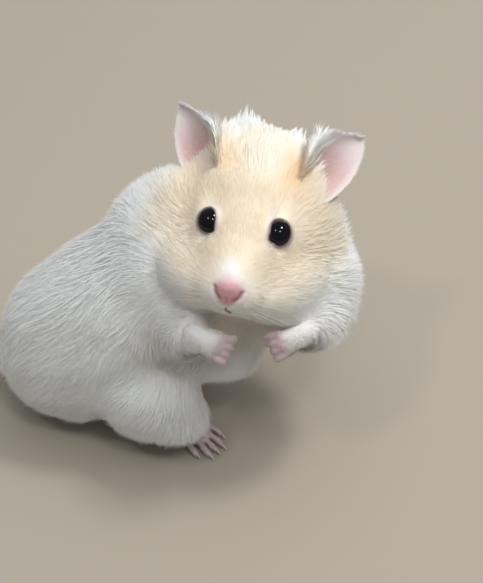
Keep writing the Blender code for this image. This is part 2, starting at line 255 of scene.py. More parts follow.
def vertex_normals(mesh):
    flat = np.empty(len(mesh.vertices) * 3, np.float32)
    mesh.vertex_normals.foreach_get("vector", flat)
    return flat.reshape(-1, 3).astype(float)


def relaxed(mesh, points, rounds, strength=0.5, share=None):
    """Points moved towards the middle of their neighbours."""
    ends = np.empty(len(mesh.edges) * 2, np.int32)
    mesh.edges.foreach_get("vertices", ends)
    ends = ends.reshape(-1, 2)
    one = np.concatenate((ends[:, 0], ends[:, 1]))
    other = np.concatenate((ends[:, 1], ends[:, 0]))
    count = np.maximum(np.bincount(one, minlength=len(points)), 1)[:, None]
    pull = strength if share is None else strength * share[:, None]
    for _ in range(rounds):
        sums = [np.bincount(one, points[other, k], len(points)) for k in range(3)]
        points = points + (np.stack(sums, 1) / count - points) * pull
    return points


def mesh_of(shape, name):
    """The loose shape as a mesh."""
    mesh = bpy.data.meshes.new(name)
    shape.to_mesh(mesh)
    shape.free()
    return mesh


def evaluated(obj):
    """The object's mesh as its modifiers leave it."""
    return bpy.data.meshes.new_from_object(obj.evaluated_get(bpy.context.evaluated_depsgraph_get()))


def remeshed(mesh, voxel):
    """The mesh as one closed surface of even quads."""
    obj = placed("remesh", mesh)
    modifier = obj.modifiers.new("even", "REMESH")
    modifier.mode = "VOXEL"
    modifier.voxel_size = voxel * MM
    result = evaluated(obj)
    bpy.data.objects.remove(obj)
    return result


together = bmesh.new()
for name in MASSES + EYES:
    mass = bmesh.new()
    mass.from_mesh(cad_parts[name].data)
    bmesh.ops.remove_doubles(mass, verts=mass.verts, dist=1e-6)
    mass.normal_update()
    for vert in mass.verts:
        vert.co += vert.normal * SEAM * MM
    together.from_mesh(mesh_of(mass, "mass"))
skin_mesh = remeshed(mesh_of(together, "masses"), SKIN_VOXEL)
points = relaxed(skin_mesh, coordinates(skin_mesh), 9)
place_vertices(skin_mesh, points)
depth = coat_depth(points) + DEEPER
for _ in range(SKIN_STEPS):
    points = points - vertex_normals(skin_mesh) * (depth / SKIN_STEPS)[:, None]
    points = relaxed(skin_mesh, points, 1, 0.35)
    place_vertices(skin_mesh, points)

EAR_LENGTH = 18.5
EAR_WALL = 0.62
EAR_COLUMNS = 20
EAR_STEPS = 5
EAR_OUTLINE = [  # along the ear, then the reach of the inner and the outer margin, as shares of the length
    (-0.32, 0.06, 0.10), (-0.12, 0.24, 0.22), (0.10, 0.40, 0.27), (0.35, 0.48, 0.28),
    (0.60, 0.41, 0.24), (0.80, 0.28, 0.16), (0.94, 0.15, 0.08), (1.0, 0.05, 0.01),
]
EAR_BASES = {"left": (12.0, 31, 12.5), "right": (-12.0, 30, 11.5)}
EAR_TAPERS = {"left": 0.08, "right": 0.38}  # how much the inner margin draws in towards the tip
EAR_LINES = {"left": (0.50, 0.68, 0.50), "right": (-0.56, 0.62, 0.50)}
EAR_FACINGS = {"left": (0.25, -0.80, 0.55), "right": (-0.35, -0.80, 0.50)}


def axes_at(place, forward, up):
    """Axes whose -y is the forward direction and whose z is as near to up as that allows."""
    y = -Vector(forward).normalized()
    z = (Vector(up) - Vector(up).dot(y) * y).normalized()
    return Matrix.Translation(place) @ Matrix((y.cross(z), y, z)).transposed().to_4x4()


def smooth_run(rows, steps):
    """Rows of values along the smooth curve through the given rows, in even steps from each to the next."""
    rows = np.array([rows[0], *rows, rows[-1]], float)
    run = []
    for i in range(len(rows) - 3):
        before, start, end, after = rows[i : i + 4]
        bend = 2 * before - 5 * start + 4 * end - after
        twist = 3 * (start - end) + after - before
        for step in range(steps + (i == len(rows) - 4)):
            t = step / steps
            run.append(start + 0.5 * t * (end - before + t * (bend + t * twist)))
    return run


def join_rings(shape, rings, closed=False):
    """Faces between each ring of vertices and the next."""
    for one, other in zip(rings, rings[1:]):
        for k in range(-closed, len(one) - 1):
            shape.faces.new((one[k], one[k + 1], other[k + 1], other[k]))


def small_part(shape, axes, voxel, rounds, thickness=0):
    """The loose shape in millimetres as one smooth closed mesh, set in place."""
    bmesh.ops.transform(shape, matrix=Matrix.Scale(MM, 4) @ axes, verts=shape.verts)
    if thickness:
        bmesh.ops.recalc_face_normals(shape, faces=shape.faces)
        bmesh.ops.solidify(shape, geom=shape.faces, thickness=thickness * MM)
    mesh = remeshed(mesh_of(shape, "small"), voxel)
    place_vertices(mesh, relaxed(mesh, coordinates(mesh), rounds))
    return mesh


ear_frames = {}
small_parts = {}
for side, sign in SIDES.items():
    facing, line = Vector(EAR_FACINGS[side]), Vector(EAR_LINES[side])
    facing -= facing.project(line)
    ear_frames[side] = HEAD @ axes_at(EAR_BASES[side], facing, line)
    ear = bmesh.new()
    rings = []
    for along, inner, outer in smooth_run(EAR_OUTLINE, EAR_STEPS):
        inner *= 1 - EAR_TAPERS[side] * min(max(along + 0.05, 0), 1)
        ring = []
        for k in range(EAR_COLUMNS + 1):
            t = 2 * k / EAR_COLUMNS - 1
            across = inner * t if t > 0 else outer * t
            # A shallow cup with its inner margin rolled in, a slight bend along it and one fine fold.
            curl = 0.55 * across**2 / (0.2 + max(along, 0)) + 0.10 * max(t, 0) ** 3 - 0.06 * along**2
            fold = 0.012 * math.exp(-(((t - 0.35) / 0.16) ** 2)) * max(0, 1 - max(along, 0) / 0.7)
            place = Vector((-sign * across, -curl - fold, along)) * EAR_LENGTH
            place.y += EAR_WALL / 2
            ring.append(ear.verts.new(place))
        rings.append(ring)
    join_rings(ear, rings)
    small_parts["ear_" + side] = small_part(ear, ear_frames[side], 0.34, 3, EAR_WALL)

WRISTS = {"left": (11.4, -3.4, 44.6), "right": (-9.2, -5.2, 45.6)}
PAW_LINES = {"left": (-0.86, -0.40, -0.20), "right": (0.86, -0.40, -0.20)}
PAW_BACKS = {"left": (0.1, -0.75, 0.65), "right": (-0.1, -0.75, 0.65)}
HEELS = {"left": ((-17, 31, 0), 2), "right": ((-19, 8.5, 0), -44)}


def add_run(shape, joints, steps=5):
    """Balls strung closely along a smooth path. A joint is a place and a radius, or one for each axis."""
    rows = [(*place, *(radius if isinstance(radius, tuple) else (radius,) * 3)) for place, radius in joints]
    for values in smooth_run(rows, steps):
        matrix = Matrix.Translation(values[:3]) @ Matrix.Diagonal((*values[3:], 1))
        bmesh.ops.create_icosphere(shape, subdivisions=2, radius=1, matrix=matrix)


# Each finger or toe: its number from the middle, and how far back it starts. Then its joints, with the reach
# to the side for each number, the place forward and up and the radius, and its claw's place, aim and length.
FINGERS = ((-1.5, 0), (-0.5, 0), (0.5, 0), (1.5, 0))
FINGER_JOINTS = (
    (1.45, -3.4, -0.3, 1.10), (1.75, -4.9, -0.5, 0.98), (1.88, -5.7, -1.5, 1.00), (1.90, -5.5, -2.7, 0.80),
)
FINGER_CLAW = ((1.90, -5.7, -3.0), (0, 0.25, -1), 1.3)
TOES = ((-2, 2.6), (-1, 0), (0, 0), (1, 0), (2, 2.6))
TOE_JOINTS = (
    (1.45, 11.0, 1.6, 1.05), (1.85, 13.2, 1.75, 0.70), (2.1, 15.4, 1.3, 0.80), (2.15, 16.6, 1.0, 0.62),
)
TOE_CLAW = ((2.15, 16.9, 1.05), (0, 1, -0.42), 1.5)
claw_roots = []


def add_digits(shape, axes, digits, joints, claw):
    """Fingers or toes side by side, and the roots of their claws."""
    (wide, ahead, high), aim, length = claw
    for number, back in digits:
        add_run(shape, [((number * x, y - back, z), radius) for x, y, z, radius in joints], 4)
        claw_roots.append((axes, (number * wide, ahead - back, high), aim, length))


paw_frames = {}
foot_frames = {}
for side, sign in SIDES.items():
    paw_frame = axes_at(Vector(WRISTS[side]) + Vector(SHIFT), PAW_LINES[side], PAW_BACKS[side])
    paw_frames[side] = paw_frame
    paw = bmesh.new()
    add_run(paw, [((0, 2.5, -0.6), 2.6), ((0, 0, 0), (2.5, 2.3, 2.2)), ((0, -2.6, -0.3), (2.9, 2.7, 1.9))])
    add_digits(paw, paw_frame, FINGERS, FINGER_JOINTS, FINGER_CLAW)
    add_run(paw, [((sign * 2.3, -1.4, -1.2), 1.0), ((sign * 2.9, -2.6, -1.5), 0.8)], 3)
    add_run(paw, [((-1.1, -2.8, -1.9), 0.9), ((1.1, -2.8, -1.9), 0.9)], 2)
    small_parts["forepaw_" + side] = small_part(paw, paw_frame, 0.25, 2)

    heel, heading = HEELS[side]
    foot_turn = Matrix.Rotation(math.radians(heading - 90), 4, "Z")
    foot_frame = Matrix.Translation(Vector(heel) + Vector(SHIFT)) @ foot_turn
    foot_frames[side] = foot_frame
    foot = bmesh.new()
    sole = [((0, 2, 8), 2.9), ((0, 0, 2.6), 2.4), ((0, 6, 2.15), 2.15), ((0, 10.5, 1.8), (3.3, 2.9, 1.75))]
    add_run(foot, sole)
    add_digits(foot, foot_frame, TOES, TOE_JOINTS, TOE_CLAW)
    mesh = small_part(foot, foot_frame, 0.32, 3)
    points = coordinates(mesh)
    points[:, 2] = np.maximum(points[:, 2], 0.04)  # flat where it stands on the floor
    place_vertices(mesh, points)
    small_parts["hindfoot_" + side] = mesh

tail = bmesh.new()
add_run(tail, list(zip([(-50, 17, 9.5), *TAIL_JOINTS], (2.6, 1.9, 1.45, 0.85))), 8)
small_parts["tail"] = small_part(tail, Matrix.Translation(SHIFT), 0.4, 3)

# The face gets a finer mesh than the body, for the lids, the nostrils and the mouth.
GAZES = {"left": np.array((0.113, -0.750, 0.709)), "right": np.array((-0.416, -0.841, 0.604))}
UPRIGHT = np.array((-0.227, 0.445, 0.867))  # along the eye's long axis
OPENINGS = {"left": (38, 47, 65), "right": (37, 42, 56)}  # degrees from the middle to the nose, out and up
CORNERS = {"left": (38, 15), "right": (66, 12)}  # degrees below the line to the nose, and how far it reaches
for eye_zone, muzzle_zone in ((6.6, 7.5), (5.2, 5.2)):
    points = in_head_axes(coordinates(skin_mesh))
    fine = (points[:, 1] < muzzle_zone) & (np.abs(points[:, 0]) < muzzle_zone)
    fine |= from_eyes(points) < eye_zone
    face = bmesh.new()
    face.from_mesh(skin_mesh)
    edges = [e for e in face.edges if fine[e.verts[0].index] and fine[e.verts[1].index]]
    bmesh.ops.subdivide_edges(face, edges=edges, cuts=1, use_grid_fill=True)
    face.to_mesh(skin_mesh)
    face.free()
    points = coordinates(skin_mesh)
    head = in_head_axes(points)
    near = ((head[:, 1] < 9) & (np.abs(head[:, 0]) < 9)) | (from_eyes(head) < 7.5)
    place_vertices(skin_mesh, relaxed(skin_mesh, points, 4, 0.5, near.astype(float)))


def eye_angles(head, side):
    """How far a direction from the middle of the eye is from its gaze, and the edge of the lids that way."""
    gaze = GAZES[side] / np.linalg.norm(GAZES[side])
    upward = UPRIGHT - UPRIGHT @ gaze * gaze
    upward /= np.linalg.norm(upward)
    noseward = np.cross(upward, gaze) * -SIDES[side]
    rays = head - EYE_PLACES[side]
    distance = np.linalg.norm(rays, axis=1)
    rays = rays / distance[:, None]
    angle = np.degrees(np.arccos(np.clip(rays @ gaze, -1, 1)))
    turn = np.arctan2(-rays @ upward, rays @ noseward)
    inner, outer, tall = OPENINGS[side]
    wide = np.where(np.cos(turn) > 0, inner, outer)
    edge = 1 / np.hypot(np.cos(turn) / wide, np.sin(turn) / tall)
    corner, reach = CORNERS[side]
    off_corner = turn - math.radians(corner)
    off_corner = np.degrees(np.abs(np.arctan2(np.sin(off_corner), np.cos(off_corner))))
    return angle, edge + reach * np.exp(-((off_corner / 20) ** 2)), distance, rays


def groove(flat, line, width):
    """1 on a line drawn on the face and fading to 0 over its width."""
    away, _, _ = to_path(np.column_stack((flat, np.zeros(len(flat)))), [(*p, 0) for p in line])
    return np.exp(-((away / width) ** 2))


NOSTRILS = {sign: [(sign * 1.7, -2.7), (sign * 2.7, -1.7), (sign * 3.1, -0.5)] for sign in (1, -1)}
LIPS = {sign: [(0, -6.2), (sign * 1.5, -7.2), (sign * 3.2, -7.8), (sign * 4.6, -8.0)] for sign in (1, -1)}
CLEFT = [(0, -2.2), (0, -6.2)]  # from the nose down to the lips
MOUTH_CORNER = [(0.3, -6.6), (1.1, -7.7)]
LID_HEIGHT = 0.30  # of the rim, over the ball
SOCKET_DEPTH = 0.85  # from the rim down to the skin behind the ball
points = coordinates(skin_mesh)
head = in_head_axes(points)
for side in SIDES:
    angle, edge, distance, rays = eye_angles(head, side)
    held = (distance < 7.5) & (angle < 125)
    rim = EYE_RADIUS + LID_HEIGHT - SOCKET_DEPTH * (1 - ease(angle, edge - 5, edge + 2))
    share = 1 - ease(angle, edge + 9, edge + 34)
    moved = EYE_PLACES[side] + rays * blended(distance, rim, share)[:, None]
    head[held] = moved[held]
place_vertices(skin_mesh, head @ HEAD_TURN.T + HEAD_PLACE)
normals = vertex_normals(skin_mesh) @ HEAD_TURN
front = 1 - ease(head[:, 1], 3.5, 7.5)
on_nose = head[:, 1] < 2.5
flat = head[:, (0, 2)]
dent = np.zeros(len(points))
for line, deep, wide, zone in (
    (NOSTRILS[1], 0.40, 0.5, on_nose),
    (LIPS[1], 0.50, 0.36, front),
    (NOSTRILS[-1], 0.40, 0.5, on_nose),
    (LIPS[-1], 0.50, 0.36, front),
    (CLEFT, 0.38, 0.26, front),
    (MOUTH_CORNER, 0.50, 0.45, front),
):
    dent += deep * groove(flat, line, wide) * zone
head -= normals * dent[:, None]
place_vertices(skin_mesh, head @ HEAD_TURN.T + HEAD_PLACE)

# Ears, paws, feet and tail are joined to the body in one closed surface.
ends = bmesh.new()
for mesh in small_parts.values():
    ends.from_mesh(mesh)
ends_object = placed("ends", mesh_of(ends, "ends"))
skin = placed("skin", skin_mesh)
union = skin.modifiers.new("ends", "BOOLEAN")
union.operation = "UNION"
union.solver = "EXACT"
union.object = ends_object
joined = evaluated(skin)
skin.modifiers.clear()


def in_order(mesh, name):
    """The mesh with its vertices and faces in an order that depends on their places alone."""
    points = coordinates(mesh)
    order = np.lexsort(points.T)
    rank = np.empty(len(order), int)
    rank[order] = np.arange(len(order))
    faces = []
    for face in mesh.polygons:
        ring = [int(rank[index]) for index in face.vertices]
        first = ring.index(min(ring))
        faces.append((*ring[first:], *ring[:first]))
    ordered = bpy.data.meshes.new(name)
    ordered.from_pydata((points[order] * MM).tolist(), [], sorted(faces))
    return ordered


skin_mesh = in_order(joined, "skin")
skin.data = skin_mesh
bpy.data.objects.remove(ends_object)
skin_mesh.shade_smooth()


def surface_of(mesh):
    """The mesh's surface in millimetres, ready to find its nearest point."""
    places = [Vector(place) for place in coordinates(mesh)]
    return BVHTree.FromPolygons(places, [tuple(face.vertices) for face in mesh.polygons])


points = coordinates(skin_mesh)
belongs = {}
for name, mesh in small_parts.items():
    surface = surface_of(mesh)
    part = coordinates(mesh)
    near = np.all((points > part.min(0) - 0.5) & (points < part.max(0) + 0.5), axis=1)
    mask = np.zeros(len(points))
    for index in np.nonzero(near)[0]:
        found = surface.find_nearest(Vector(points[index]), 0.5)
        mask[index] = found[0] is not None and found[3] < 0.05
    belongs[name] = mask
anywhere = np.max(list(belongs.values()), axis=0)
seam = relaxed(skin_mesh, np.repeat(anywhere[:, None], 3, 1), 6)[:, 0]
place_vertices(skin_mesh, relaxed(skin_mesh, points, 5, 0.5, 1 - np.abs(2 * seam - 1)))


def seen_from(axes, points):
    """Points in the given axes."""
    return (points - np.array(axes.translation)) @ np.array(axes.to_3x3())


ears = np.maximum(belongs["ear_left"], belongs["ear_right"])
bare = ears
for side in SIDES:
    paw = seen_from(paw_frames[side], points)
    foot = seen_from(foot_frames[side], points)
    bare = np.maximum(bare, belongs["forepaw_" + side] * (1 - ease(paw[:, 1], -4.2, -1.8)))
    bare = np.maximum(bare, belongs["hindfoot_" + side] * ease(foot[:, 1], 4, 9))
bare = np.maximum(bare, 0.5 * belongs["tail"])
head = in_head_axes(points)
nose_width = 2.5 + 1.0 * ease(head[:, 2], -4.2, 0.6)
nose_share = np.hypot(head[:, 0] / nose_width, (head[:, 2] + 0.6) / 3.9)
nose_fade = 0.80 - 0.45 * ease(head[:, 2], -0.8, 2.2)
nose_pad = (1 - ease(nose_share, nose_fade, 1.18)) * (1 - ease(head[:, 1], 3.0, 4.2))
lids = np.zeros(len(points))
for side in SIDES:
    angle, edge, distance, _ = eye_angles(head, side)
    lids = np.maximum(lids, (distance < 5.2) * np.clip(1 - (angle - edge) / 26, 0, 1))
flat = head[:, (0, 2)]
at_front = head[:, 1] < 6
lips = groove(flat, [(-2.6, -7.4), (0, -6.3), (2.6, -7.6)], 0.5) * at_front
# Painted shade in the openings of the nostrils.
hollows = np.maximum(groove(flat, NOSTRILS[1], 0.75), groove(flat, NOSTRILS[-1], 0.75))
hollows *= 0.75 * (head[:, 1] < 2.5)
# Painted shade in the slit of the mouth, which is also left bare of hair.
notch = groove(flat, MOUTH_CORNER, 0.62) * at_front
ear_pink = np.zeros(len(points))
ear_places = {}
for side, sign in SIDES.items():
    ear = seen_from(ear_frames[side], points) / EAR_LENGTH
    outline = np.array(EAR_OUTLINE)
    inner = np.interp(ear[:, 2], outline[:, 0], outline[:, 1])
    inner *= 1 - EAR_TAPERS[side] * np.clip(ear[:, 2] + 0.05, 0, 1)
    outer = np.interp(ear[:, 2], outline[:, 0], outline[:, 2])
    across = -sign * ear[:, 0]
    share = np.where(across > 0, across / inner, across / outer)
    ear_places[side] = np.stack((share, ear[:, 2]), 1)
    pink = (1 - ease(np.abs(share), 0.5, 0.95)) * (1 - ease(ear[:, 2], 0.3, 0.95))
    ear_pink = np.maximum(ear_pink, belongs["ear_" + side] * pink)
bare = np.maximum.reduce([bare, nose_pad, 0.9 * ease(lids, 0.25, 0.8), 0.25 * lips, notch])


def keep_values(mesh, **named_values):
    """Values at the vertices, kept on the mesh for its material."""
    for name, values in named_values.items():
        data = mesh.attributes.new(name, "FLOAT", "POINT").data
        data.foreach_set("value", np.asarray(values, np.float32))


keep_values(skin_mesh, bare=bare, lids=lids, nose=nose_pad, hollows=hollows, notch=notch)
keep_values(skin_mesh, ears=ears, ear_pink=ear_pink)


def feed(tree, sockets, values):
    """Each socket gets a number, a colour, a vector or a link."""
    for socket, value in zip(sockets, values):
        if isinstance(value, bpy.types.NodeSocket):
            tree.links.new(value, socket)
        elif isinstance(value, tuple) and socket.type == "RGBA":
            socket.default_value = (*value, 1)
        else:
            socket.default_value = value


def math_node(tree, operation, one, other):
    node = tree.nodes.new("ShaderNodeMath")
    node.operation = operation
    feed(tree, node.inputs, (one, other))
    return node.outputs["Value"]


def vector_node(tree, operation, *values, output="Vector"):
    node = tree.nodes.new("ShaderNodeVectorMath")
    node.operation = operation
    feed(tree, node.inputs, values)
    return node.outputs[output]


def ramp_between(tree, value, start, end, low=0.0, high=1.0):
    """A smooth rise from low to high while the value goes from start to end."""
    node = tree.nodes.new("ShaderNodeMapRange")
    node.interpolation_type = "SMOOTHSTEP"
    feed(tree, node.inputs, (value, start, end, low, high))
    return node.outputs["Result"]


def mixed(tree, share, one, other, blend="MIX"):
    node = tree.nodes.new("ShaderNodeMix")
    node.data_type = "RGBA"
    node.blend_type = blend
    feed(tree, (node.inputs[0], node.inputs[6], node.inputs[7]), (share, one, other))
    return node.outputs[2]


def noise_node(tree, vector, scale, detail=3.0, output="Fac"):
    node = tree.nodes.new("ShaderNodeTexNoise")
    feed(tree, [node.inputs[name] for name in ("Vector", "Scale", "Detail")], (vector, scale, detail))
    return node.outputs[output]


# The markings: a cream head, deeper in front of the ears and paler on the crown, with a white blaze above the
# nose. Neck, body and legs are white, and painted shade dulls the white on the chest and forelegs. The skin
# under the coat carries the same markings and painted shade.
markings_and_shade = tree = bpy.data.node_groups.new("coat_markings", "ShaderNodeTree")
markings_and_shade.interface.new_socket("Color", in_out="OUTPUT", socket_type="NodeSocketColor")
where = tree.nodes.new("ShaderNodeTexCoord").outputs["Object"]
to_head = tree.nodes.new("ShaderNodeMapping")
to_head.vector_type = "TEXTURE"
feed(tree, to_head.inputs, (where, HEAD.translation * MM, HEAD.to_euler(), (MM, MM, MM)))
stray = noise_node(tree, where, 130, 4, "Color")
stray = vector_node(tree, "SUBTRACT", stray, (0.5, 0.5, 0.5))
stray = vector_node(tree, "MULTIPLY", stray, (9.0, 9.0, 9.0))
strayed = vector_node(tree, "ADD", to_head.outputs["Vector"], stray)


def patch(centre, radii, inner, outer, place=strayed):
    """1 inside an ellipsoid and fading out across its edge, in the axes of the head or of a given place."""
    scaled = vector_node(tree, "DIVIDE", vector_node(tree, "SUBTRACT", place, centre), radii)
    length = vector_node(tree, "LENGTH", scaled, output="Value")
    return ramp_between(tree, length, inner, outer, 1.0, 0.0)


WHITE_HAIR = (0.94, 0.945, 0.93)
SHADED_CHEST_HAIR = (0.76, 0.73, 0.68)  # white hair dulled by painted shade, on the chest and forelegs under the head
PATCHES = (  # middle, reach each way, where it starts and ends to fade, and the colour of the hair
    ((0, 22, 7), (24.5, 28, 19.5), 0.72, 1.12, (0.93, 0.84, 0.69)),  # pale cream over the whole face
    ((0, 22, 9), (18, 20, 15), 0.45, 1.15, (0.935, 0.82, 0.64)),  # deeper cream within it
    ((8, 28, 16), (5, 9, 6), 0.1, 1.1, (0.91, 0.72, 0.47)),  # apricot in front of the left ear
    ((-8, 28, 16), (4, 8, 6), 0.1, 1.1, (0.92, 0.78, 0.57)),  # and weaker in front of the right one
    ((0, 30, 19), (6, 14, 9), 0.2, 1.1, (0.94, 0.89, 0.78)),  # paler crown
    ((0, 2.6, 3.0), (3.0, 5.0, 5.6), 0.0, 1.15, (0.94, 0.91, 0.89)),  # blaze
    ((0, 3.5, -7.0), (8, 7, 5.5), 0.3, 1.15, WHITE_HAIR),  # chin
)
# Painted shade: the white of the chest and forelegs, which lie under the head, made a little duller.
chest_shade = patch((0.018, -0.017, 0.038), (0.029, 0.017, 0.014), 0.45, 1.1, where)
colour = mixed(tree, chest_shade, WHITE_HAIR, SHADED_CHEST_HAIR)
for centre, radii, inner, outer, hair in PATCHES:
    colour = mixed(tree, patch(centre, radii, inner, outer), colour, hair)
tree.links.new(colour, tree.nodes.new("NodeGroupOutput").inputs["Color"])


def attribute(tree, name):
    node = tree.nodes.new("ShaderNodeAttribute")
    node.attribute_name = name
    return node.outputs["Fac"]


def marked_material(name, colour, roughness):
    """A material that carries the markings and the painted chest shade, its shader, its tree and that colour
    there.
    """
    material, shader = plain_material(name, colour, roughness)
    group = material.node_tree.nodes.new("ShaderNodeGroup")
    group.node_tree = markings_and_shade
    return material, shader, material.node_tree, group.outputs["Color"]


material, shader, tree, marking_and_shade = marked_material("hamster_skin", (0.8, 0.7, 0.6), 0.5)
where = tree.nodes.new("ShaderNodeTexCoord").outputs["Object"]
under_coat = mixed(tree, 0.12, marking_and_shade, (0.88, 0.74, 0.68))
mottle = noise_node(tree, where, 420, 4)
bare_colour = mixed(tree, ramp_between(tree, mottle, 0.35, 0.7), (0.66, 0.51, 0.52), (0.56, 0.41, 0.42))
ear_colour = mixed(tree, attribute(tree, "ear_pink"), (0.76, 0.68, 0.66), (0.62, 0.40, 0.38))
round_eye = attribute(tree, "lids")
for share, tone in (
    (attribute(tree, "ears"), ear_colour),
    (attribute(tree, "nose"), (0.80, 0.43, 0.45)),
    (ramp_between(tree, round_eye, 0.1, 0.5), (0.52, 0.44, 0.47)),  # bare lids
    (ramp_between(tree, round_eye, 0.80, 0.97), (0.10, 0.08, 0.09)),  # and their dark edge
    (attribute(tree, "hollows"), (0.42, 0.17, 0.18)),  # nostrils: painted shade in their openings
    (attribute(tree, "notch"), (0.13, 0.05, 0.07)),  # painted shade in the slit of the mouth
):
    bare_colour = mixed(tree, share, bare_colour, tone)
colour = mixed(tree, attribute(tree, "bare"), under_coat, bare_colour)
tree.links.new(colour, shader.inputs["Base Color"])
wrinkles = tree.nodes.new("ShaderNodeTexVoronoi")
wrinkles.inputs["Scale"].default_value = 2600
tree.links.new(where, wrinkles.inputs["Vector"])
bump = tree.nodes.new("ShaderNodeBump")
bump.inputs["Strength"].default_value = 0.25
bump.inputs["Distance"].default_value = 0.0001
tree.links.new(wrinkles.outputs["Distance"], bump.inputs["Height"])
tree.links.new(bump.outputs["Normal"], shader.inputs["Normal"])
shader.inputs["Subsurface Weight"].default_value = 0.15
shader.inputs["Subsurface Radius"].default_value = (1.0, 0.35, 0.25)
shader.inputs["Subsurface Scale"].default_value = 0.0008
skin_mesh.materials.append(material)
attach(skin, "root")
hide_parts(*MASSES, *small_parts)

# ---------------------------------------------------------------- eyes
# Each eye is a wet, glossy black ball with a clear bulge in front. It sits in a socket of the skin, held by
# the lids, and is turned out and a little up.


def clouded_material(name, one, other, scale, roughness, detail=3):
    """A material whose colour wanders softly between two tones, and its shader."""
    material, shader = plain_material(name, one, roughness)
    tree = material.node_tree
    where = tree.nodes.new("ShaderNodeTexCoord").outputs["Object"]
    colour = mixed(tree, noise_node(tree, where, scale, detail), one, other)
    tree.links.new(colour, shader.inputs["Base Color"])
    return material, shader


material, shader = clouded_material("eye_black", (0.0025, 0.002, 0.0025), (0.007, 0.005, 0.006), 900, 0.03)
shader.inputs["IOR"].default_value = 1.42
for side in SIDES:
    ball = bmesh.new()
    bmesh.ops.create_uvsphere(ball, u_segments=64, v_segments=40, radius=EYE_RADIUS)
    for vert in ball.verts:
        vert.co.z += 0.10 * max(0.0, vert.co.z / EYE_RADIUS - 0.55)
    gaze = Vector(GAZES[side]).to_track_quat("Z", "Y").to_matrix().to_4x4()
    place = HEAD @ Matrix.Translation(EYE_PLACES[side]) @ gaze
    bmesh.ops.transform(ball, matrix=Matrix.Scale(MM, 4) @ place, verts=ball.verts)
    mesh = in_order(mesh_of(ball, "ball"), "eyeball_" + side)
    mesh.shade_smooth()
    mesh.materials.append(material)
    eye = placed("eyeball_" + side, mesh)
    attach(eye, "root")
    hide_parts("eye_" + side)

# ---------------------------------------------------------------- claws
# Four small claws on each forepaw and five on each hind foot, of pale clear horn. They grow from the tips of
# the toes and curve down.

CLAW_SIDES = 8
CLAW_WIDTH, CLAW_HEIGHT = 0.22, 0.28  # half of each at the root, as shares of the length
CLAW_RINGS = ((0.0, 0.0, 1.0), (0.35, -0.02, 0.86), (0.7, -0.14, 0.58), (0.92, -0.30, 0.28))
claw = bmesh.new()
rings = []
for along, sag, share in CLAW_RINGS:
    ring = []
    for k in range(CLAW_SIDES):
        turn = 2 * math.pi * k / CLAW_SIDES
        across, up = CLAW_WIDTH * share * math.cos(turn), CLAW_HEIGHT * share * math.sin(turn)
        ring.append(claw.verts.new((across, up + sag, along)))
    rings.append(ring)
join_rings(claw, rings, closed=True)
point = claw.verts.new((0, -0.38, 1.0))
for k in range(CLAW_SIDES):
    claw.faces.new((rings[-1][k - 1], rings[-1][k], point))
claw.faces.new(reversed(rings[0]))
claw_mesh = mesh_of(claw, "one_claw")
claw_mesh.shade_smooth()
claw_object = bpy.data.objects.new("one_claw", claw_mesh)
claw_horn, _ = clouded_material("claw_horn", (0.78, 0.62, 0.57), (0.66, 0.46, 0.43), 1500, 0.3)

places, turns, lengths = [], [], []
for axes, place, aim, length in claw_roots:
    places.append(axes @ Vector(place) * MM)
    forward = (axes.to_3x3() @ Vector(aim)).normalized()
    upward = axes.to_3x3() @ (Vector((0, -1, 0)) if aim[2] < -0.9 else Vector((0, 0, 1)))
    upward = (upward - upward.dot(forward) * forward).normalized()
    turns.extend(Matrix((upward.cross(forward), upward, forward)).transposed().to_euler())
    lengths.append(length * MM)
mesh = bpy.data.meshes.new("claw_points")
mesh.from_pydata(places, [], [])
mesh.attributes.new("turn", "FLOAT_VECTOR", "POINT").data.foreach_set("vector", turns)
keep_values(mesh, length=lengths)
claws = placed("claws", mesh)


def geometry_group(name, **inputs):
    """A Geometry Nodes tree with its named inputs and a mesh going in and out, and its first node."""
    group = bpy.data.node_groups.new(name, "GeometryNodeTree")
    group.interface.new_socket("Geometry", in_out="INPUT", socket_type="NodeSocketGeometry")
    for label, kind in inputs.items():
        group.interface.new_socket(label, in_out="INPUT", socket_type="NodeSocket" + kind)
    group.interface.new_socket("Geometry", in_out="OUTPUT", socket_type="NodeSocketGeometry")
    return group, group.nodes.new("NodeGroupInput")


def wire(group, *wires):
    """Links, each from a node and its output to a node and its input."""
    for start, output, end, entry in wires:
        group.links.new(start.outputs[output], end.inputs[entry])


def finish_group(group, start, shape, output):
    """The end of a tree: plain geometry in its material."""
    whole = group.nodes.new("GeometryNodeRealizeInstances")
    coated = group.nodes.new("GeometryNodeSetMaterial")
    end = group.nodes.new("NodeGroupOutput")
    wire(
        group,
        (shape, output, whole, "Geometry"),
        (whole, "Geometry", coated, "Geometry"),
        (start, "Material", coated, "Material"),
        (coated, "Geometry", end, "Geometry"),
    )


def named(group, name, kind="FLOAT"):
    node = group.nodes.new("GeometryNodeInputNamedAttribute")
    node.data_type = kind
    node.inputs["Name"].default_value = name
    return node.outputs["Attribute"]


def grown(obj, group, values):
    """The object's mesh replaced by what the tree makes of it, as plain geometry."""
    modifier = obj.modifiers.new("grown", "NODES")
    modifier.node_group = group
    for item in group.interface.items_tree:
        if item.item_type == "SOCKET" and item.in_out == "INPUT" and item.name in values:
            modifier[item.identifier] = values[item.name]
    mesh = evaluated(obj)
    obj.modifiers.clear()
    obj.data = mesh
    mesh.shade_smooth()


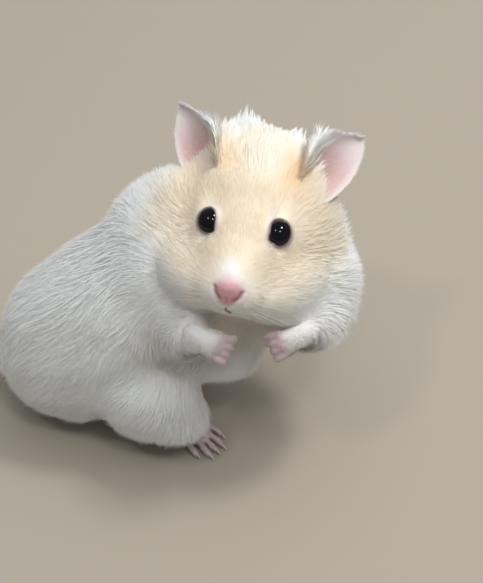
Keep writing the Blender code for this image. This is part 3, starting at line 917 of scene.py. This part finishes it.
group, start = geometry_group("set_claws", Claw="Object", Material="Material")
shape = group.nodes.new("GeometryNodeObjectInfo")
spread = group.nodes.new("GeometryNodeInstanceOnPoints")
to_turn = group.nodes.new("FunctionNodeEulerToRotation")
wire(
    group,
    (start, "Claw", shape, "Object"),
    (start, "Geometry", spread, "Points"),
    (shape, "Geometry", spread, "Instance"),
    (to_turn, "Rotation", spread, "Rotation"),
)
group.links.new(named(group, "turn", "FLOAT_VECTOR"), to_turn.inputs["Euler"])
group.links.new(named(group, "length"), spread.inputs["Scale"])
finish_group(group, start, spread, "Instances")
grown(claws, group, {"Claw": claw_object, "Material": claw_horn})
bpy.data.objects.remove(claw_object)
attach(claws, "root")

# ---------------------------------------------------------------- whiskers
# Stiff white hairs in rows on the pads beside the nose, with a few above each eye. They grow from the skin,
# sweep out and back, and run to a fine point.

skin_surface = surface_of(skin_mesh)
WHISKER_STEPS = 9
WHISKER_RADIUS = 0.045  # at the root
chance = np.random.default_rng(5)
whiskers = []  # root, direction, length and droop
for side, sign in SIDES.items():
    for row in range(4):
        for column in range(5):
            place = (sign * (2.9 + 0.75 * column), 2.6 + 1.25 * column, -0.6 - 1.15 * row)
            aim = (sign * (1.0 - 0.03 * column), 0.10 + 0.16 * column, 0.42 - 0.26 * row)
            whiskers.append((place, aim, 9 + 3.6 * column - 1.2 * abs(row - 1), -0.10))
    for number in range(2):
        place = EYE_PLACES[side] + np.array((sign * (-1.5 + 1.4 * number), -0.5, 4.2))
        whiskers.append((place, (sign * (0.30 + 0.5 * number), 0.5, 0.9), 8 + 2 * number, 0.05))
places, edges, radii = [], [], []
for place, aim, length, sag in whiskers:
    spot = skin_surface.find_nearest(HEAD @ Vector(place))
    aim = (HEAD.to_3x3() @ Vector(aim)).normalized()
    aim = (aim + Vector(chance.normal(0, 0.06, 3))).normalized()
    length *= chance.uniform(0.85, 1.1)
    for step in range(WHISKER_STEPS + 1):
        t = step / WHISKER_STEPS
        if step:
            edges.append((len(places) - 1, len(places)))
        reached = aim * length * t + Vector((0, 0, sag * length * t * t))
        places.append((spot[0] - 0.4 * spot[1] + reached) * MM)
        radii.append(WHISKER_RADIUS * MM * (1 - 0.85 * t))
mesh = bpy.data.meshes.new("whisker_lines")
mesh.from_pydata(places, edges, [])
keep_values(mesh, thickness=radii)
whisker_piece = placed("whiskers", mesh)

group, start = geometry_group("draw_whiskers", Sides="Int", Material="Material")
as_curve = group.nodes.new("GeometryNodeMeshToCurve")
ring = group.nodes.new("GeometryNodeCurvePrimitiveCircle")
sweep = group.nodes.new("GeometryNodeCurveToMesh")
ring.inputs["Radius"].default_value = 1.0
sweep.inputs["Fill Caps"].default_value = True
wire(
    group,
    (start, "Geometry", as_curve, "Mesh"),
    (as_curve, "Curve", sweep, "Curve"),
    (start, "Sides", ring, "Resolution"),
    (ring, "Curve", sweep, "Profile Curve"),
)
group.links.new(named(group, "thickness"), sweep.inputs["Scale"])
finish_group(group, start, sweep, "Mesh")
material, _ = clouded_material("whisker_hair", (0.95, 0.93, 0.88), (0.86, 0.82, 0.75), 300, 0.35, 2)
grown(whisker_piece, group, {"Sides": 5, "Material": material})
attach(whisker_piece, "root")

# ---------------------------------------------------------------- coat
# The coat is hundreds of thousands of fine tapered locks of hair rooted in the skin, straight or bent once.
# They lie back from the nose over the head, down the back and the legs, and stand up between the ears.

HAIRS_BODY = 22.0  # roots to a square millimetre
HAIRS_FACE = 46.0
HAIRS_EARS = 9.0  # fine down
HAIRS_PAWS = 11.0
chance = np.random.default_rng(11)


def lie_of_coat(points):
    """The way the hair runs."""
    head = in_head_axes(points)
    from_nose = unit(head - np.array((0, -7, 0))) @ HEAD_TURN.T
    _, _, along_body = to_path(points, SPINE)
    along_body = along_body + np.array((0, 0, -0.45))
    share = 1 - ease(beyond(head, (0, 20, 4), (24, 28, 24)), 0.95, 1.35)
    lie = blended(along_body, from_nose, share[:, None])
    for paths, reach in ((FORELEGS, 8.0), (SHANKS, 7.0)):
        for path in paths.values():
            away, _, along = to_path(points, path)
            near = (1 - ease(away, reach * 0.6, reach * 1.3)) * (1 - share)
            lie = blended(lie, along, near[:, None])
    away, _, along = to_path(points, TAIL)
    lie = blended(lie, along, 1 - ease(away, 3, 6)[:, None])
    for place in EYE_PLACES.values():
        rays = (head - place) @ HEAD_TURN.T
        distance = np.linalg.norm(rays, axis=1)
        near = 1 - ease(distance, 3.5, 8.5)
        lie += 1.3 * rays / distance[:, None] * near[:, None]
    for side, axes in ear_frames.items():
        up_ear = np.array(axes.to_3x3())[:, 2]
        lie = blended(lie, up_ear, belongs["ear_" + side][:, None])
    return lie


def laid_flat(vectors, normals):
    """The vectors laid along the surface, at a length of 1."""
    return unit(vectors - np.sum(vectors * normals, 1)[:, None] * normals)


skin_mesh.calc_loop_triangles()
corners = np.empty(len(skin_mesh.loop_triangles) * 3, np.int32)
skin_mesh.loop_triangles.foreach_get("vertices", corners)
corners = corners.reshape(-1, 3)
points = coordinates(skin_mesh)
normals = vertex_normals(skin_mesh)
lie_of_skin = lie_of_coat(points)
for _ in range(5):
    lie_of_skin = laid_flat(relaxed(skin_mesh, lie_of_skin, 8, 0.5), normals)
first, second, third = (points[corners[:, k]] for k in range(3))
area = 0.5 * np.linalg.norm(np.cross(second - first, third - first), axis=1)
middle = points[corners].mean(1)
head = in_head_axes(middle)
on_face = 1 - ease(beyond(head, (0, 10, 2), (17, 16, 16)), 0.7, 1.15)
crowd = HAIRS_BODY + (HAIRS_FACE - HAIRS_BODY) * on_face
paws = [mask for name, mask in belongs.items() if "paw" in name or "foot" in name]
hands_and_feet = np.maximum.reduce(paws)
down = np.maximum(HAIRS_EARS * ears * (1 - 0.7 * ear_pink), HAIRS_PAWS * hands_and_feet)
crowd = np.maximum(crowd * np.clip(1 - 1.35 * bare[corners].mean(1), 0, 1), down[corners].mean(1))
crowd = np.where(middle[:, 2] < 1.0, 0, crowd)  # none where it rests on the floor
wanted = chance.poisson(area * crowd)
corners_at = np.repeat(corners, wanted, axis=0)
a, b = chance.random((2, len(corners_at)))
flip = a + b > 1
a[flip], b[flip] = 1 - a[flip], 1 - b[flip]
weights = np.stack((1 - a - b, a, b), 1)


def at_roots(values):
    """Values of the skin's vertices, read at the roots of the locks."""
    if values.ndim == 1:
        return np.einsum("ij,ij->i", weights, values[corners_at])
    return np.einsum("ij,ijk->ik", weights, values[corners_at])


roots = at_roots(points)
outward = unit(at_roots(normals))
bare_at, ears_at, pads_at = at_roots(bare), at_roots(ears), at_roots(hands_and_feet)
fringe = np.zeros(len(roots))
for side, places in ear_places.items():
    share, along = at_roots(places).T
    edge_here = ease(share, 0.45, 0.8) * (1 - 0.85 * ease(along, 0.3, 0.8)) * ease(along, -0.25, -0.05)
    fringe = np.maximum(fringe, at_roots(belongs["ear_" + side]) * edge_here)

lie = laid_flat(at_roots(lie_of_skin), outward)
depth = coat_depth(roots)
across, behind, above = in_head_axes(roots).T
standing = ease(behind, 27, 33) * (1 - ease(np.abs(across), 9, 13)) * ease(above, 12, 16)
standing *= 1 - ease(behind, 39, 43)  # the tuft between the ears
parting = (0.40 + 0.60 * ease(np.abs(across - 0.8), 0.8, 5.5)) * (1 - 0.2 * ease(across, 0, 4))
fluff = ease(np.abs(across), 13, 19) * (1 - ease(above, 2, 8)) * ease(behind, 10, 16)  # on the cheeks
guard = chance.random(len(roots)) < 0.06
lengths = np.clip(6.0 * depth + 0.4, 0.7, 7.6) * chance.uniform(0.75, 1.15, len(roots))
lengths *= 1 - standing * (1 - parting * chance.uniform(0.4, 1.0, len(roots)))
lengths = blended(lengths, 0.85 + 0.4 * ears_at + 3.6 * fringe, bare_at)
# A lock leaves the skin at the angle of its lift and bends to that of its droop.
lift = np.radians(9 + 36 * standing + 7 * guard + chance.normal(0, 0.8, len(roots)))
droop = np.radians(4 + 36 * standing + 6 * guard + chance.normal(0, 1.0, len(roots)))
widths = np.interp(lengths, (0.8, 3, 8), (0.12, 0.22, 0.30)) * chance.uniform(0.8, 1.2, len(roots))
bent = guard | (standing > 0.05) | (fringe > 0.3)

noise.seed_set(7)  # else the drift is another one on each run
drift = np.array([noise.noise_vector(Vector(p) / 7.0) for p in roots])
turn = np.radians(30 * drift[:, 0] + 26 * drift[:, 1] * standing + chance.normal(0, 5, len(roots)))
sideways = np.cross(outward, lie)
lie = lie * np.cos(turn)[:, None] + sideways * np.sin(turn)[:, None]
lift += np.radians(2.5) * drift[:, 2] + np.radians(8) * fluff
droop += np.radians(3) * fluff
widths[guard] *= 0.7
widths *= 1 - 0.3 * standing


def reach_of(angle, share):
    return (np.cos(angle)[:, None] * lie + np.sin(angle)[:, None] * outward) * (lengths * share)[:, None]


belly = roots + reach_of(lift, 0.5)
tips = roots + reach_of(lift, 0.45) + reach_of(droop, 0.55)

# Neighbouring locks lean together at their tips.
LEADERS = 0.07  # the share of the locks that others lean to
leaders = np.nonzero(chance.random(len(roots)) < LEADERS)[0]
nearest = KDTree(len(leaders))
for i, index in enumerate(leaders):
    nearest.insert(roots[index], i)
nearest.balance()
own = np.array([leaders[nearest.find(root)[1]] for root in roots])
pull = 0.60 * standing + chance.uniform(0.0, 0.2, len(roots))
pull *= np.linalg.norm(roots - roots[own], axis=1) < 3
tips += (tips[own] - tips) * pull[:, None]
belly += (belly[own] - belly) * (0.35 * pull)[:, None]

low, high = (np.array(corner) / MM for corner in cad_box)
slack = 0.02 * (high - low)
for place in (belly, tips):
    np.clip(place, low - slack, high + slack, out=place)
    place[:, 2] = np.maximum(place[:, 2], 0.15)

coat_material, shader, tree, marking_and_shade = marked_material("hamster_coat", (0.85, 0.8, 0.7), 0.75)
# Painted shade: each lock is a little darker towards its root, where the locks over it shade it. A random
# tone per lock multiplies it.
painted_root_shade = ramp_between(tree, attribute(tree, "along_hair"), 0.0, 0.7, 0.95, 1.0)
shade = math_node(tree, "ADD", painted_root_shade, attribute(tree, "tone"))
rgb = tree.nodes.new("ShaderNodeCombineColor")
for socket in ("Red", "Green", "Blue"):
    tree.links.new(shade, rgb.inputs[socket])
pinkish = math_node(tree, "MULTIPLY", attribute(tree, "pads"), 0.8)
tinted = mixed(tree, pinkish, marking_and_shade, (0.74, 0.62, 0.60))
shaded = mixed(tree, 1.0, tinted, rgb.outputs["Color"], "MULTIPLY")
tree.links.new(shaded, shader.inputs["Base Color"])
shader.inputs["Specular IOR Level"].default_value = 0.25
shader.inputs["Sheen Weight"].default_value = 0.15

SOFTNESS = 12.0  # how far a lock is shaded as part of the surface that it lies on
FLATNESS = 0.18  # a lock's thickness as a share of its width
ROOT_DEPTH = 0.25  # how far a lock starts under the skin
PATCH = 0.003  # the side of a lock's patch on the unwrap
THIRD = PATCH / 3
BELLY = 0.6 * PATCH


def stripe(k, low, high):
    """One side of a lock on its patch, from low to high, and pointed where it ends at the tip."""
    start, end = (k * THIRD, low), ((k + 1) * THIRD, low)
    if high == PATCH:
        return [start, end, ((k + 0.5) * THIRD, high)]
    return [start, end, ((k + 1) * THIRD, high), (k * THIRD, high)]


BASE = [(0, 0), (THIRD, 0), (THIRD / 2, 0.4 * THIRD)]
STRAIGHT = {
    "faces": [(0, 1, 3), (1, 2, 3), (2, 0, 3), (2, 1, 0)],
    "patch": [stripe(k, 0, PATCH) for k in range(3)] + [BASE],
    "under": (1, 3),
}
BENT = {
    "faces": [(0, 1, 4, 3), (1, 2, 5, 4), (2, 0, 3, 5), (3, 4, 6), (4, 5, 6), (5, 3, 6), (2, 1, 0)],
    "patch": [stripe(k, 0, BELLY) for k in range(3)] + [stripe(k, BELLY, PATCH) for k in range(3)] + [BASE],
    "under": (1, 4, 6),
}


def locks(chosen, kind, place_on_unwrap):
    """Closed three-sided tapered locks, straight or bent at the belly, with their directions and patches."""
    count = len(chosen)
    root, mid, tip = roots[chosen] - ROOT_DEPTH * outward[chosen], belly[chosen], tips[chosen]
    across = unit(np.cross(outward[chosen], tip - root))
    thick = unit(np.cross(tip - root, across))
    rings = [(root, 1.0), (mid, 0.9)] if kind is BENT else [(root, 1.0)]
    verts = np.empty((count, 3 * len(rings) + 1, 3))
    facing = np.empty(verts.shape)
    half = (widths[chosen] / 2)[:, None]
    for k in range(3):
        angle = math.pi / 2 + 2 * math.pi * k / 3
        flat = math.cos(angle) * across
        for i, (middle, share) in enumerate(rings):
            verts[:, 3 * i + k] = middle + share * (flat + FLATNESS * math.sin(angle) * thick) * half
            facing[:, 3 * i + k] = flat + math.sin(angle) * thick
    verts[:, -1] = tip
    facing[:, -1] = thick
    verts[:, :, 2] = np.maximum(verts[:, :, 2], 0.05)
    loops = np.concatenate(kind["faces"])
    soft = unit(outward[chosen][:, None, :] * SOFTNESS + facing)[:, loops, :]
    sides = [len(face) for face in kind["faces"]]
    underside = np.repeat([i in kind["under"] for i in range(len(sides))], sides)
    soft[:, underside, :] = -thick[:, None, :]
    uv = place_on_unwrap[:, None, :] + np.concatenate(kind["patch"])[None, :, :]
    along = [0.0] * 3 + [0.5] * 3 * (len(rings) - 1) + [1.0]
    sizes = np.tile(sides, count)
    per_corner = verts.shape[1]
    loops = loops[None, :] + per_corner * np.arange(count)[:, None]
    return {
        "verts": verts.reshape(-1, 3),
        "loops": loops.ravel(),
        "sizes": sizes,
        "soft": soft.reshape(-1, 3),
        "uv": uv.reshape(-1, 2),
        "along_hair": np.tile(along, count),
        "tone": np.repeat(tones[chosen], per_corner),
        "pads": np.repeat(tints[chosen], per_corner),
    }


def coat_mesh(name, chosen, place_on_unwrap):
    """One mesh of locks, each a small patch of the unwrap at its root's place."""
    some = bent[chosen]
    one = locks(chosen[~some], STRAIGHT, place_on_unwrap[~some])
    other = locks(chosen[some], BENT, place_on_unwrap[some])
    other["loops"] = other["loops"] + len(one["verts"])
    both = {key: np.concatenate((one[key], other[key])) for key in one}
    mesh = bpy.data.meshes.new(name)
    mesh.vertices.add(len(both["verts"]))
    mesh.vertices.foreach_set("co", (both["verts"] * MM).astype(np.float32).ravel())
    mesh.loops.add(len(both["loops"]))
    mesh.loops.foreach_set("vertex_index", both["loops"].astype(np.int32))
    mesh.polygons.add(len(both["sizes"]))
    starts = np.concatenate(([0], np.cumsum(both["sizes"])[:-1]))
    mesh.polygons.foreach_set("loop_start", starts.astype(np.int32))
    mesh.update(calc_edges=True)
    mesh.polygons.foreach_set("use_smooth", np.ones(len(both["sizes"]), bool))
    mesh.normals_split_custom_set(both["soft"].astype(np.float32))
    unwrap = mesh.uv_layers.new(name="OFBake")
    unwrap.data.foreach_set("uv", both["uv"].astype(np.float32).ravel())
    keep_values(mesh, **{label: both[label] for label in ("along_hair", "tone", "pads")})
    mesh.materials.append(coat_material)
    return mesh


tones = chance.normal(0, 0.012, len(roots))
tints = np.maximum(pads_at * ease(bare_at, 0.1, 0.6), 0.6 * ears_at) * (1 - fringe)
_, body_share, _ = to_path(roots, SPINE)
head = in_head_axes(roots)
on_head = beyond(head, (0, 20, 4), (26, 29, 25)) < 1.0
left = head[:, 0] > 0
low_face = head[:, 2] <= 5
areas = {
    "coat_muzzle": on_head & (behind < 9),
    "coat_forehead": on_head & (behind >= 9) & (behind < 24) & ~low_face,
    "coat_crown": on_head & (behind >= 24) & ~low_face,
    "coat_cheek_left": on_head & (behind >= 9) & low_face & left,
    "coat_cheek_right": on_head & (behind >= 9) & low_face & ~left,
}
left_body = roots[:, 1] > 1.5
BODY_AREAS = {"shoulder": (0, 0.36), "flank": (0.36, 0.55), "haunch": (0.55, 0.72), "rump": (0.72, 2)}
for name, (start, end) in BODY_AREAS.items():
    stretch = ~on_head & (body_share >= start) & (body_share < end)
    areas[f"coat_{name}_left"] = stretch & left_body
    areas[f"coat_{name}_right"] = stretch & ~left_body
for name, mask in areas.items():
    chosen = np.nonzero(mask)[0]
    if name.split("_")[1] in BODY_AREAS:
        spot = roots[chosen]
        turn = np.arctan2(spot[:, 1] - SPINE[:, 1].mean(), spot[:, 2] - 25)
        length = body_share[chosen] * 100
    else:
        spot = head[chosen]
        turn = np.arctan2(spot[:, 0], spot[:, 2])
        if "cheek" in name:
            turn = np.arctan2(spot[:, 2] + 2, np.abs(spot[:, 0]) - 2)
        length = spot[:, 1]
    unwrap = np.stack((turn, length), 1)
    unwrap = 0.01 + 0.97 * (unwrap - unwrap.min(0)) / (unwrap.max(0) - unwrap.min(0))
    coat = placed(name, coat_mesh(name, chosen, unwrap))
    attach(coat, "root")
